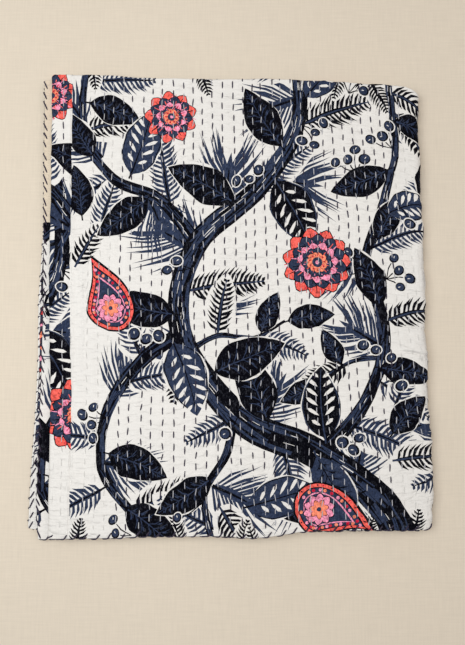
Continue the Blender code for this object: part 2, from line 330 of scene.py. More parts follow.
def strokeMark(start, end, width, paint, sag=0.0, taper=0.35):
    # a stroke as a cut block leaves it: full near its start, thin at its end
    start, end = np.asarray(start, dtype=float), np.asarray(end, dtype=float)
    way = end - start
    across = np.array([-way[1], way[0]])
    mid = (start + end) / 2 + across * sag
    h = unit(across) * width / 2
    tip = [end + h * taper, end - h * taper] if taper else [end]
    lay([start + h * 0.7, mid + h, *tip, mid - h, start - h * 0.7], paint)


def leafLine(base, angle, length, bow, steps=25):
    t = np.linspace(0, 1, steps)
    return turned(np.stack([length * t, bow * length * t * (1 - t)], 1), angle, base), t


def uneven(count, size):
    # a smooth hand-cut waver
    t = np.linspace(0, 1, count)
    return 1 + size * (np.sin(t * dice.uniform(9, 15) + dice.uniform(0, 6)) + 0.6 * np.sin(t * dice.uniform(20, 30)))


def leafBlade(base, angle, length, width, bow, paint, full=0.85, stalk=0.1):
    path, t = leafLine(base, angle, length, bow)
    body = np.clip((t - stalk) / (1 - stalk), 0, 1)
    half = width / 2 * np.sin(math.pi * body**0.8) ** full * uneven(len(t), motif["waver"]) + 0.0012 * (1 - t)
    side = sideways(path)
    other = half * uneven(len(t), motif["waver"])
    lay(np.vstack([path + side * half[:, None], (path - side * other[:, None])[::-1]]), paint)
    return path, side, half


def veinLeaf(base, angle, length, width, bow, paint, vein):
    leafBlade(base, angle, length * 1.02, width + motif["gapRound"], bow, "ground")
    path, side, half = leafBlade(base, angle, length, width, bow, paint)
    step = length / (len(path) - 1)
    ribbon(path[3:-1], np.linspace(0.0010, 0.0004, len(path) - 4), vein)
    for k in range(motif["veins"]):
        i = int((0.18 + 0.68 * k / (motif["veins"] - 1)) * (len(path) - 1))
        head = unit(path[i + 1] - path[i])
        reach = 0.85 * half[i]
        for n in range(4):  # shorter until its tip stays inside the blade, which it meets further on
            reach = min(reach, 0.82 * np.interp(i + 0.75 * reach / step, range(len(half)), half))
        reach *= dice.uniform(0.86, 1.0)
        for sign in (1, -1):
            tip = path[i] + side[i] * sign * reach + head * reach * 0.75
            strokeMark(path[i], tip, motif["veinWidth"], vein, sag=-0.10 * sign, taper=0.5)
            for n in range(2):  # loose cuts of the same way between two veins
                a = path[i] + (tip - path[i]) * dice.uniform(0.15, 0.5) + head * dice.uniform(0.002, 0.005)
                b = a + (tip - path[i]) * dice.uniform(0.2, 0.42)
                strokeMark(a, b, dice.uniform(0.0009, 0.0026), vein, taper=0)


def slotLeaf(base, angle, length, width, bow, paint, edge):
    leafBlade(base, angle, length * 1.02, width + motif["gapRound"], bow, "ground", 0.8, 0.08)
    path, side, half = leafBlade(base, angle, length, width, bow, paint, 0.8, 0.08)
    for k in range(motif["slots"]):
        i = int(round((0.2 + 0.62 * k / (motif["slots"] - 1)) * (len(path) - 1)))
        head = unit(path[i + 1] - path[i])
        for sign in (1, -1):
            lean = unit(side[i] * sign + head * 0.8)
            a = path[i] + lean * (0.002 + half[i] * 0.14)
            reach = lean * half[i] * 0.76
            fat = np.array([-lean[1], lean[0]]) * min(motif["slotHalf"], half[i] * 0.24)
            lay([a, a + reach * 0.3 + fat * 0.8, a + reach * 0.75 + fat, a + reach, a + reach * 0.75 - fat,
                 a + reach * 0.3 - fat * 0.8], "ground")
    for sign in (1, -1):
        ribbon((path + side * (half * sign * 0.95)[:, None])[4:-3], np.full(len(path) - 7, 0.0007), edge)
    ribbon(path[:-1], np.linspace(0.0013, 0.0005, len(path) - 1), edge)


def fern(base, angle, length, reach, paint, second, gap, thick):
    bow = motif["fernBow"]
    leafBlade(base, angle, length * 1.12, reach * 1.95, bow, "ground", 0.6, 0.0)  # motifs underneath stop short of it
    path, t = leafLine(base, angle, length, bow, 15)
    side = sideways(path)
    leafBlade(base, angle, length, reach * 0.20, bow, paint, 0.7, 0.05)
    pairs = round(length / gap)
    for k in range(pairs):
        u = 0.10 + 0.88 * k / (pairs - 1)
        at = u * (len(path) - 1)
        j = min(int(at), len(path) - 2)
        spot = path[j] + (path[j + 1] - path[j]) * (at - j)
        head = unit(path[j + 1] - path[j])
        size = reach * math.sin(math.pi * (0.22 + 0.74 * u)) ** 0.8
        for sign in (1, -1):
            lean = side[j] * sign * 0.86 + head * dice.uniform(0.55, 0.75)
            strokeMark(spot, spot + lean * size * dice.uniform(0.86, 1.08), thick * dice.uniform(0.85, 1.15),
                       paint, sag=0.09 * sign, taper=0)
    ribbon(path, np.linspace(0.0016, 0.0008, len(path)), second)


def tuft(base, angle, length, spread, count):
    # long needles that leave a short twig on both sides and at its end
    way, twig = toward(angle), length * 0.55
    leafBlade(base, angle, length * 0.80, length * 0.14, 0.0, "navy", 0.9, 0.0)
    for k in range(count):
        u, sign = k / (count - 1), 1 if k % 2 else -1
        turn = angle + sign * spread * (1 - 0.62 * u) + dice.uniform(-0.06, 0.06)
        size = length * (0.62 + 0.18 * math.sin(math.pi * u)) * dice.uniform(0.85, 1.1)
        spot = np.asarray(base) + way * twig * u
        strokeMark(spot, spot + size * toward(turn), motif["needle"] * dice.uniform(0.8, 1.2), "navy",
                   sag=0.05 * sign, taper=0)
    ribbon(np.asarray(base) + way * twig * np.array([[0], [0.5], [1]]), [0.0026, 0.0020, 0.0010], "ink")


def ring(centre, radius, steps=16, squash=1.0, angle=0.0):
    a = np.linspace(0, 2 * math.pi, steps, endpoint=False)
    return turned(np.stack([radius * np.cos(a), radius * squash * np.sin(a)], 1), angle, centre)


def covered(spot):
    # whether a leaf, vine or rosette already lies there
    for outline, paint, area in shapes:
        if area > 0.0006 and paint != "ground" and np.abs(outline.mean(0) - spot).max() < 0.3:
            a, b = outline, np.roll(outline, -1, axis=0)
            level = (a[:, 1] > spot[1]) != (b[:, 1] > spot[1])
            a, b = a[level], b[level]
            if (spot[0] < a[:, 0] + (spot[1] - a[:, 1]) * (b[:, 0] - a[:, 0]) / (b[:, 1] - a[:, 1])).sum() % 2:
                return True
    return False


def berries(base, angle, count):
    gap, radius = motif["berryGap"], motif["berryRadius"]
    for k in range(count):
        turn = angle + (k - (count - 1) / 2) * 0.55
        spot = np.asarray(base) + gap * (1.15 + 0.55 * (k % 2)) * toward(turn)
        if covered(spot):
            continue
        strokeMark(base, spot, 0.0020, "ink", sag=0.08)
        size, squash, a = radius * dice.uniform(0.85, 1.1), dice.uniform(0.76, 0.95), dice.uniform(0, 3.1)
        lay(ring(spot, size * 1.22, 16, squash, a), "ground")
        lay(ring(spot, size, 16, squash, a), "ink")
        lean = toward(a + 0.7)
        lay(ring(spot + lean * size * 0.10, size * 0.78, 12, squash, a), "navy")
        strokeMark(spot + lean * size * 0.45, spot - lean * size * 0.05, 0.0013, "ground", taper=0)


def petalShape(length, width):
    t = np.linspace(0, 1, 9)
    half = width / 2 * np.sin(math.pi * (0.03 + 0.93 * t**1.35)) ** 0.8
    return np.vstack([np.stack([length * t, half], 1), np.stack([length * t, -half], 1)[::-1]])


def rosette(centre, radius, petals, turn):
    # each row of petals: how far out and how wide, its paint, the paints of its lines, their number, and its shift
    rows = ((1.0, 0.56, "coral", ("crimson", "pink", "ink"), 5, 0),
            (0.80, 0.50, "navy", ("pink", "coral", "ink"), 4, 0.5),
            (0.60, 0.36, "pink", ("coral", "crimson", "ink"), 3, 0),
            (0.44, 0.32, "navy", ("coral", "pink"), 2, 0.5),
            (0.30, 0.22, "peach", ("crimson",), 1, 0))
    for out, wide, paint, flecks, lines, shift in rows:
        for k in range(petals):
            a = turn + (k + shift) * 2 * math.pi / petals
            size = radius * out * dice.uniform(0.95, 1.05)
            lay(turned(petalShape(size * 1.03, radius * wide * 1.08), a, centre), "ink")
            lay(turned(petalShape(size, radius * wide), a, centre), paint)
            for n in range(lines):
                lean = (n - (lines - 1) / 2) * 0.15 * size
                near, far = size * dice.uniform(0.36, 0.5), size * dice.uniform(0.7, 0.92)
                p, q = turned([(near, lean * 0.7), (far, lean)], a, centre)
                strokeMark(p, q, dice.uniform(0.0011, 0.0020), flecks[n % 3], taper=0.6)
    lay(ring(centre, radius * 0.15), "navy")
    for k in range(9):
        a = turn + k * 2 * math.pi / 9
        lay(ring(np.asarray(centre) + radius * 0.215 * toward(a), 0.0013, 7), "crimson")
    lay(ring(centre, radius * 0.06, 10), "pink")


def paisleyDrop(base, angle, length, flip):
    # a round body whose neck bends over to one side
    t = np.linspace(0, 1, 34)
    spine = np.stack([t, 0.55 * t**2.2], 1)
    body = 0.36 * np.sqrt(np.clip(1 - ((t - 0.30) / 0.30) ** 2, 0, 1)) * (t <= 0.30)
    half = body + 0.36 * np.cos(np.clip((t - 0.30) / 0.70, 0, 1) * math.pi / 2) ** 1.25 * (t > 0.30)
    side = sideways(spine)
    outline = np.vstack([spine + side * half[:, None], (spine - side * half[:, None])[::-1]])
    eye = np.array([0.33, 0.05])

    def placed(points):
        return turned(np.asarray(points, dtype=float) * [1, flip] * length, angle, base)

    def grown(points, times):
        return (points - eye) * times + eye

    for times, paint in ((1.14, "ink"), (1.06, "coral"), (0.92, "ink"), (0.88, "navy"), (0.7, "pink"),
                         (0.65, "navy")):
        lay(placed(grown(outline, times)), paint)
    step = (len(outline) - 1) / motif["scallops"]
    for k in range(motif["scallops"]):  # a scalloped border
        i = int(k * step)
        lay(placed(ring(grown(outline[i], 0.80), 0.026, 8)), ("peach", "pink", "crimson")[k % 3])
    for k in range(motif["scallops"]):
        i = int((k + 0.5) * step)
        p, q = placed([grown(outline[i], 1.04), grown(outline[i], 0.96)])
        strokeMark(p, q, 0.0018, "crimson" if k % 2 else "ink", taper=0.8)
    for size, count, paint in ((0.23, 10, "pink"), (0.14, 7, "peach")):  # and petals round its eye
        for k in range(count):
            petal = turned(petalShape(size, size * 0.55), k * 2 * math.pi / count, eye)
            lay(placed(grown(petal, 1.08)), "ink")
            lay(placed(petal), paint)
    lay(placed(ring(eye, 0.035, 10)), "navy")


def vine(points, thick, thin, strokes, slits):
    path = smoothPath(points, 7)
    n = len(path)
    halves = np.linspace(thick / 2, thin / 2, n) * uneven(n, 0.05)
    ribbon(path, halves, "ink")
    side = sideways(path)
    for k in range(strokes):
        i = dice.integers(0, n - 3)
        j = min(n - 1, i + dice.integers(2, 5))
        offset = dice.uniform(-0.8, 0.8)
        strokeMark(path[i] + side[i] * halves[i] * offset, path[j] + side[j] * halves[j] * offset * 0.95,
                   dice.uniform(0.0016, 0.0034) * (0.5 + thick / 0.06), "navy", taper=0.5)
    for k in range(slits):
        i = dice.integers(1, n - 3)
        a = path[i] + side[i] * halves[i] * dice.uniform(-0.55, 0.55)
        strokeMark(a, a + (path[i + 1] - path[i]) * dice.uniform(0.5, 1.1), 0.0010, "ground", taper=0.5)


# x, y, heading in degrees, length, spread and number of needles
tufts = ((-0.055, 0.075, 152, 0.118, 1.0, 26), (-0.02, 0.14, 82, 0.112, 0.9, 25),
         (0.045, 0.185, -6, 0.112, 0.95, 26), (-0.08, -0.065, 196, 0.095, 0.9, 20),
         (0.03, -0.175, 58, 0.1, 0.95, 22), (0.197, 0.06, 200, 0.088, 0.9, 19), (-0.14, 0.17, -66, 0.095, 0.9, 20),
         (-0.19, -0.14, 62, 0.085, 0.9, 17), (0.218, -0.07, 148, 0.095, 0.95, 20),
         (-0.04, -0.27, -22, 0.1, 0.9, 20), (0.1, 0.315, 202, 0.1, 0.9, 20), (-0.205, -0.235, -12, 0.085, 0.9, 17),
         (0.17, -0.27, 78, 0.09, 0.9, 18), (-0.234, 0.27, 128, 0.07, 0.9, 13), (0.105, -0.24, -100, 0.1, 0.9, 19),
         (-0.205, 0.215, 140, 0.085, 0.9, 19), (0.232, -0.2, 20, 0.075, 0.9, 17),
         (-0.045, -0.02, 35, 0.075, 0.8, 15))
# x, y, heading, length, reach to each side, and 1 where it is navy and not ink
ferns = ((-0.1, 0.14, 98, 0.115, 0.031, 1), (-0.235, 0.255, 12, 0.095, 0.026, 0), (0.2, 0.08, 24, 0.1, 0.028, 1),
         (0.222, -0.03, 18, 0.085, 0.026, 0), (0.155, -0.185, -22, 0.125, 0.032, 1),
         (0.06, -0.205, -78, 0.12, 0.032, 1), (-0.205, -0.2, 172, 0.09, 0.026, 1),
         (-0.16, -0.31, 22, 0.11, 0.028, 0), (-0.2, -0.27, 205, 0.09, 0.026, 1),
         (-0.145, -0.085, 108, 0.095, 0.028, 1), (-0.19, 0.185, 208, 0.1, 0.028, 1),
         (-0.078, 0.015, 8, 0.12, 0.03, 0), (0.1, 0.27, 22, 0.115, 0.031, 0), (0.238, 0.25, 38, 0.08, 0.026, 1),
         (0.0, -0.165, -152, 0.09, 0.026, 1), (-0.03, -0.335, 152, 0.1, 0.028, 1),
         (0.08, 0.352, 165, 0.11, 0.028, 1), (-0.225, 0.33, 5, 0.1, 0.028, 1), (0.24, -0.345, 172, 0.12, 0.03, 1),
         (0.21, -0.12, -38, 0.09, 0.026, 1), (-0.085, -0.05, 262, 0.1, 0.028, 0), (0.02, 0.165, 38, 0.12, 0.03, 1),
         (-0.03, -0.3, -60, 0.09, 0.028, 0), (-0.17, -0.12, 10, 0.08, 0.026, 1),
         (0.236, 0.33, -20, 0.075, 0.024, 0), (0.245, 0.3, -55, 0.075, 0.024, 0),
         (0.232, -0.16, 60, 0.07, 0.022, 1), (0.225, -0.24, 5, 0.085, 0.026, 0), (-0.21, 0.09, 75, 0.09, 0.026, 1),
         (-0.245, 0.05, 60, 0.07, 0.022, 0), (-0.03, -0.05, 80, 0.085, 0.024, 0),
         (0.03, -0.05, -25, 0.08, 0.024, 1), (0.165, -0.095, 205, 0.075, 0.024, 0))
# small ferns that come in from the head and the foot: x, y, heading, length
tips = ((-0.242, -0.365, 82, 0.05), (-0.15, -0.365, 75, 0.042), (-0.085, -0.365, 104, 0.055),
        (0.004, -0.365, 80, 0.048), (0.03, -0.365, 112, 0.04), (0.15, -0.365, 98, 0.036),
        (0.185, -0.365, 72, 0.048), (0.222, -0.365, 95, 0.044), (0.258, -0.365, 84, 0.052),
        (-0.225, 0.365, -80, 0.045), (-0.06, 0.365, -70, 0.05), (0.16, 0.365, -100, 0.05),
        (0.19, 0.365, -82, 0.04), (0.205, 0.35, -60, 0.06))
# a vine goes through its points, and gets narrower from thick to thin
vines = (dict(points=((-0.075, -0.075), (-0.03, -0.05), (0.025, -0.052), (0.072, -0.03)), thick=0.010, thin=0.004,
              strokes=14, slits=0),
         dict(points=((0.222, -0.085), (0.185, -0.088), (0.155, -0.1), (0.128, -0.125)), thick=0.009, thin=0.004,
              strokes=12, slits=0),
         dict(points=((-0.006, -0.165), (-0.02, -0.225), (-0.052, -0.29), (-0.025, -0.4)), thick=0.014, thin=0.008,
              strokes=24, slits=4),
         dict(points=((-0.08, -0.045), (-0.142, -0.085), (-0.196, -0.155), (-0.205, -0.245), (-0.15, -0.325),
                      (-0.13, -0.42)), thick=0.022, thin=0.010, strokes=40, slits=8),
         dict(points=((-0.058, 0.085), (-0.118, 0.155), (-0.19, 0.185), (-0.236, 0.262), (-0.225, 0.4)),
              thick=0.021, thin=0.009, strokes=40, slits=6),
         dict(points=((0.118, -0.232), (0.188, -0.155), (0.222, -0.05), (0.196, 0.06), (0.226, 0.16), (0.246, 0.26),
                      (0.225, 0.4)), thick=0.022, thin=0.009, strokes=52, slits=8),
         dict(points=((0.262, -0.42), (0.215, -0.31), (0.118, -0.232), (-0.006, -0.165), (-0.086, -0.045),
                      (-0.062, 0.085), (0.04, 0.18), (0.098, 0.285), (0.085, 0.42)),
              thick=0.052, thin=0.020, strokes=130, slits=50))
# x, y, heading, length, width, bow, and 1 where the leaf is ink with navy lines and not the reverse
veinLeaves = ((0.185, -0.285, 196, 0.125, 0.056, 0.12, 1), (0.045, -0.185, 112, 0.125, 0.056, -0.12, 1),
              (-0.045, -0.11, 22, 0.125, 0.058, 0.14, 1), (-0.085, -0.02, 168, 0.115, 0.052, 0.12, 1),
              (0.005, 0.145, 152, 0.125, 0.054, -0.14, 1), (0.075, 0.23, 122, 0.115, 0.05, 0.12, 1),
              (-0.13, 0.162, 218, 0.105, 0.045, 0.1, 1), (-0.215, 0.212, 122, 0.085, 0.038, 0.1, 1),
              (0.218, -0.015, 112, 0.105, 0.044, -0.12, 1), (0.24, 0.21, 204, 0.105, 0.045, 0.1, 1),
              (-0.205, -0.22, -22, 0.105, 0.048, 0.12, 1), (-0.178, -0.295, -38, 0.115, 0.05, 0.1, 1),
              (-0.035, -0.255, 212, 0.105, 0.044, 0.1, 1), (0.11, -0.225, -58, 0.125, 0.052, -0.12, 0),
              (0.205, -0.1, -10, 0.09, 0.04, 0.1, 1), (0.21, 0.09, 62, 0.085, 0.036, 0.1, 1),
              (0.034, -0.05, 66, 0.07, 0.034, 0.1, 1), (0.07, -0.032, 8, 0.078, 0.036, 0.1, 1),
              (0.158, -0.1, 118, 0.064, 0.03, 0.1, 1), (0.13, -0.122, 202, 0.074, 0.034, 0.1, 1),
              (-0.232, 0.3, -18, 0.09, 0.042, 0.1, 1), (0.24, 0.285, -12, 0.078, 0.038, 0.1, 1),
              (0.222, -0.205, 48, 0.085, 0.04, 0.1, 1), (-0.235, 0.12, 100, 0.085, 0.04, -0.1, 1))
slotLeaves = ((0.055, 0.19, -62, 0.125, 0.064, 0.12, 1), (-0.1, -0.055, -72, 0.12, 0.062, 0.12, 0),
              (0.225, 0.135, 22, 0.085, 0.045, 0.1, 0), (-0.165, 0.185, 72, 0.115, 0.056, -0.1, 0),
              (0.128, -0.215, 92, 0.115, 0.058, 0.1, 1), (0.005, -0.3, 8, 0.115, 0.058, 0.12, 0),
              (0.105, 0.31, 50, 0.09, 0.046, 0.1, 0))
# x, y, heading, number of berries
berrySprays = ((-0.238, 0.255, 200, 3), (0.03, 0.165, 100, 4), (0.195, 0.05, 150, 4), (0.222, -0.055, 200, 3),
               (-0.2, -0.17, 190, 4), (-0.07, 0.05, 200, 4), (0.24, 0.24, 110, 4), (0.0, -0.165, 250, 4),
               (-0.16, -0.34, 140, 3), (-0.14, -0.08, 70, 4), (0.1, 0.27, -40, 4), (-0.06, -0.3, 160, 4),
               (0.16, -0.19, -60, 4), (0.245, 0.155, -30, 5), (0.222, -0.12, 30, 4), (0.175, 0.325, 60, 4),
               (0.185, 0.2, 110, 4), (-0.215, 0.15, 150, 3), (0.225, 0.035, 20, 4))
rosettes = ((0.122, 0.058, 0.052, 11, 0.1), (-0.1, 0.282, 0.04, 9, 0.3))  # x, y, radius, petals, turn
drops = ((-0.195, -0.04, 75, 0.09, 1), (0.085, -0.315, 15, 0.098, -1))  # x, y, heading, size, flip


def twoPaints(inkFirst):
    return ("ink", "navy") if inkFirst else ("navy", "ink")


for x, y, heading, length, spread, count in tufts:
    tuft((x, y), math.radians(heading), length, spread, count)
for x, y, heading, length, reach, blue in ferns:
    fern((x, y), math.radians(heading), length, reach, *twoPaints(not blue), **motif["leaflets"])
for x, y, heading, length in tips:
    fern((x, y), math.radians(heading), length, length * 0.32, "ink", "ink", **motif["smallLeaflets"])
for row in vines:
    vine(**row)
for x, y, heading, length, width, bow, dark in veinLeaves:
    veinLeaf((x, y), math.radians(heading), length, width, bow, *twoPaints(dark))
for x, y, heading, length, width, bow, dark in slotLeaves:
    slotLeaf((x, y), math.radians(heading), length, width, bow, *twoPaints(dark))
for x, y, heading, count in berrySprays:
    berries((x, y), math.radians(heading), count)
for x, y, radius, petals, turn in rosettes:
    rosette((x, y), radius, petals, turn)
for x, y, heading, size, flip in drops:
    paisleyDrop((x, y), math.radians(heading), size, flip)
print("print drawn:", len(shapes), "shapes")

# where the print shows: s and v bound a zone of the cloth, copies say how far the design moves to reach it and the
# part of v where that copy is used, least is the smallest shape worth keeping there, in square metres, and slack is
# how far a border may be straightened
shownV = (0, vAt[2] + 0.004)
zones = (
    dict(s=(seamS, sAt[6]), v=shownV, copies=((faceS + 0.535, faceV + 0.03, -1, 2), (faceS, faceV, -1, 2))),
    dict(s=(sAt[3] - 0.004, seamS), v=shownV,
         copies=((seamS - 0.112, faceV - 0.225, 0.112, 0.44), (seamS + 0.068, faceV + 0.028, 0.44, 2))),
    dict(s=(0, 0.035), v=shownV, copies=((0.212, faceV - 0.03, -1, 0.26), (0.005, faceV - 0.03, 0.26, 0.45)),
         cream=(0.466, vAt[2] + 0.004)),
    dict(s=(wide - 0.045, wide), v=(vAt[2], vAt[3]), copies=((wide - 0.13, vAt[2] + halfL, -1, vAt[3] - 0.09),)),
    dict(s=(sAt[6], wide), v=(0, vAt[2]), copies=(((sAt[6] + wide) / 2, faceV, -1, 2),), least=3e-5, slack=0.0004),
    dict(s=(0.035, sAt[3] - 0.004), v=(vAt[1] - 0.004, vAt[2] + 0.004),
         copies=((0.3, vAt[1] - 0.1, -1, 9), (0.87, vAt[1], -1, 9)), least=3e-5, slack=0.0003))


def cutUp(points, edges, faces, closeness):
    made = delaunay_2d_cdt([Vector(p) for p in points], edges, faces, 0, closeness)
    return np.array([(p.x, p.y) for p in made[0]]), np.array(made[2]), made[5]


def sidesOf(triangles):
    return np.vstack([triangles[:, [0, 1]], triangles[:, [1, 2]], triangles[:, [2, 0]]])


def box(s, v):
    return [(s[0], v[0]), (s[1], v[0]), (s[1], v[1]), (s[0], v[1])]


def borders(triangles, colours):
    # the edges between two triangles of different paint
    pairs = np.sort(sidesOf(triangles), axis=1)
    owner = np.tile(np.arange(len(triangles)), 3)
    order = np.lexsort((pairs[:, 1], pairs[:, 0]))
    pairs, owner = pairs[order], owner[order]
    same = (pairs[1:] == pairs[:-1]).all(1)
    first, second = np.nonzero(same)[0], np.nonzero(same)[0] + 1
    differ = colours[owner[first]] != colours[owner[second]]
    return pairs[first[differ]]


def chained(pairs):
    # the edges joined end to end into paths that stop where borders meet
    beside = {}
    for a, b in pairs.tolist():
        beside.setdefault(a, []).append(b)
        beside.setdefault(b, []).append(a)
    paths, done = [], set()
    for start in sorted(beside, key=lambda place: len(beside[place]) == 2):  # a loop is started anywhere
        for second in beside[start]:
            if (start, second) in done:
                continue
            path = [start, second]
            while len(beside[path[-1]]) == 2 and path[-1] != start:
                one, other = beside[path[-1]]
                path.append(other if one == path[-2] else one)
            done.update(zip(path, path[1:]))
            done.update(zip(path[1:], path))
            paths.append(path)
    return paths


def thinned(path, spots, slack):
    # the path's ends, and its points that stand out by more than the slack
    if len(path) < 3:
        return path
    way, inner = spots[path[-1]] - spots[path[0]], spots[path[1:-1]] - spots[path[0]]
    size = np.hypot(*way)
    away = np.abs(inner[:, 0] * way[1] - inner[:, 1] * way[0]) / size if size > 1e-9 else np.hypot(*inner.T)
    far = int(away.argmax()) + 1
    if away[far - 1] < slack:
        return [path[0], path[-1]]
    return thinned(path[:far + 1], spots, slack)[:-1] + thinned(path[far:], spots, slack)


def layZone(s, v, copies, least=0, slack=0.00018, cream=None):
    # the zone's shapes cut each other up, and the last one laid gives each piece its paint
    outlines, colours = [box(s, v)], ["ground"]
    for moveS, moveV, fromV, toV in copies:
        for outline, paint, area in shapes:
            moved = outline + (moveS, moveV)
            low, high = moved.min(0), moved.max(0)
            if (area >= least and low[0] < s[1] and high[0] > s[0] and low[1] < v[1] and high[1] > v[0]
                    and fromV < (low[1] + high[1]) / 2 <= toV):
                outlines.append(moved)
                colours.append(paint)
    if cream:
        outlines.append(box(s, cream))
        colours.append("cream")
    starts = np.cumsum([0] + [len(outline) for outline in outlines])
    faces = [list(range(a, b)) for a, b in zip(starts, starts[1:])]
    spots, triangles, covers = cutUp(np.vstack(outlines), [], faces, 1e-6)
    inside = [n for n, cover in enumerate(covers) if 0 in cover]
    triangles = triangles[inside]
    found = np.array([paintNames.index(colours[max(covers[n])]) for n in inside])
    paths = [thinned(path, spots, slack) for path in chained(borders(triangles, found))]
    return spots, triangles, found, [(a, b) for path in paths for a, b in zip(path, path[1:]) if a != b]


printSpots, printTriangles, printColours, printBorders = [], [], [], []
count = 0
for zone in zones:
    spots, triangles, colours, lines = layZone(**zone)
    printSpots.append(spots)
    printTriangles.append(triangles + count)
    printColours.append(colours)
    printBorders += [(a + count, b + count) for a, b in lines]
    count += len(spots)
printSpots, printTriangles = np.vstack(printSpots), np.vstack(printTriangles)
printColours, printBorders = np.concatenate(printColours), np.array(printBorders)
printMap = BVHTree.FromPolygons([(x, y, 0) for x, y in printSpots], printTriangles.tolist())


def paintAt(points):
    # the number of the paint that shows at each place of the cloth
    found = [printMap.ray_cast(Vector((x, y, 1)), Vector((0, 0, -1)))[2] for x, y in points]
    return np.array([0 if n is None else printColours[n] for n in found])


print("print laid:", len(printBorders), "border edges")

# the cloth's mesh: fold lines, relief points and the print's outlines share one triangulation
meshing = dict(acrossSteps=(0.09, 8, 0.09, 10, 0.046, 14, 0.046), alongSteps=(0.046, 10, 0.09, 6, 0.09, 6, 0.09),
               backAcross=(0.09, 6, 0.09, 7, 0.06, 9, 0.09), backAlong=(0.06, 6, 0.09, 4, 0.09, 4, 0.09),
               hemLines=(0.0012, 0.003, 0.006, 0.010, 0.020, 0.035), closeness=4.2e-4, rimRound=0.0003,
               rowPoints=(0.0, 0.0032, 0.0080, 0.0129), facePointStep=0.0050, underPointSteps=(0.0115, 0.0110),
               creasePoints=15, besideCrease=(-1.3, -0.65, 0, 0.65, 1.3))


def mergeLines(*groups):
    lines = np.sort(np.concatenate([np.asarray(group, dtype=float) for group in groups]))
    return lines[np.concatenate([[True], np.diff(lines) > 1e-5])]


hems = np.array(meshing["hemLines"])
seamLines = seamS + np.array([-1, 0, 1])[:, None] * [relief["seamGroove"], relief["seamRidge"]]
sLines = mergeLines(acrossLine.stops(meshing["acrossSteps"]), hems, wide - hems, seamLines.ravel())
vLines = mergeLines(alongLine.stops(meshing["alongSteps"]), hems, long - hems)


def latticePoints(columns, rows):
    # the crossings of two sets of lines, and the stretches between them
    points = [(s, v) for s in columns for v in rows]
    n = len(rows)
    edges = [(i * n + j, i * n + j + 1) for i in range(len(columns)) for j in range(n - 1)]
    edges += [(i * n + j, (i + 1) * n + j) for i in range(len(columns) - 1) for j in range(n)]
    return points, edges


def meshPlane(columns, rows, loose=(), spots=(), edges=()):
    # triangles of the whole cloth, with its fold lines, some loose points and some more edges as their sides
    points, lines = latticePoints(columns, rows)
    count = len(points) + len(loose)
    points = np.vstack([points] + [part for part in (loose, spots) if len(part)])
    lines += [(a + count, b + count) for a, b in edges]
    spots, triangles, covers = cutUp(points, lines, [], meshing["closeness"])
    centres = spots[triangles].mean(1)
    inside = (centres[:, 0] > 0) & (centres[:, 0] < wide) & (centres[:, 1] > 0) & (centres[:, 1] < long)
    return spots, triangles[inside], centres[inside]


rowSet = np.concatenate([relief["rowPitch"] * np.arange(-4, relief["rowCount"] + 2) + relief["rowFirstX"] + off
                         for off in meshing["rowPoints"]])
faceXs = rowSet[(rowSet > -halfW + 0.006) & (rowSet < rightFold + 0.016)]
faceVs = np.arange(0.008, vAt[1], meshing["facePointStep"])
loose = [(fanned(x, v - faceV) + faceS, v) for x in faceXs for v in faceVs]
for x0, y0, x1, y1, half, height in creases:
    start, run = np.array((x0 + faceS, y0 + faceV)), np.array((x1 - x0, y1 - y0))
    over = np.array((y0 - y1, x1 - x0)) / np.hypot(*run) * half
    loose += [start + run * t + over * beside
              for t in np.linspace(0, 1, meshing["creasePoints"]) for beside in meshing["besideCrease"]]
stepS, stepV = meshing["underPointSteps"]
loose += [(s, v) for s in np.arange(sAt[6] + 0.008, wide - 0.04, stepS) for v in np.arange(0.008, vAt[1], stepV)]
used = np.unique(printBorders)
renumber = np.zeros(len(printSpots), dtype=int)
renumber[used] = np.arange(len(used))
spots, triangles, centres = meshPlane(sLines, vLines, loose, printSpots[used], renumber[printBorders])
faceColours = paintAt(centres)
print("printed face of the cloth:", len(triangles), "triangles")


# the other face of the cloth, and the rim that joins the two
def usedOnly(spots, triangles):
    kept = np.unique(triangles)
    number = np.zeros(len(spots), dtype=int)
    number[kept] = np.arange(len(kept))
    return np.clip(spots[kept], 0, (wide, long)), number[triangles]


def rimOf(spots, triangles):
    # the points round the edge in order, and how far along it each one is, from the corner at (0, 0)
    sides, size = sidesOf(triangles), len(spots)
    alone = ~np.isin(sides[:, 0] * size + sides[:, 1], sides[:, 1] * size + sides[:, 0])
    following = dict(sides[alone].tolist())
    loop = [int(np.hypot(*spots.T).argmin())]
    while following[loop[-1]] != loop[0]:
        loop.append(following[loop[-1]])
    steps = np.linalg.norm(np.diff(spots[loop], axis=0), axis=1)
    return np.array(loop), np.concatenate([[0], np.cumsum(steps)])


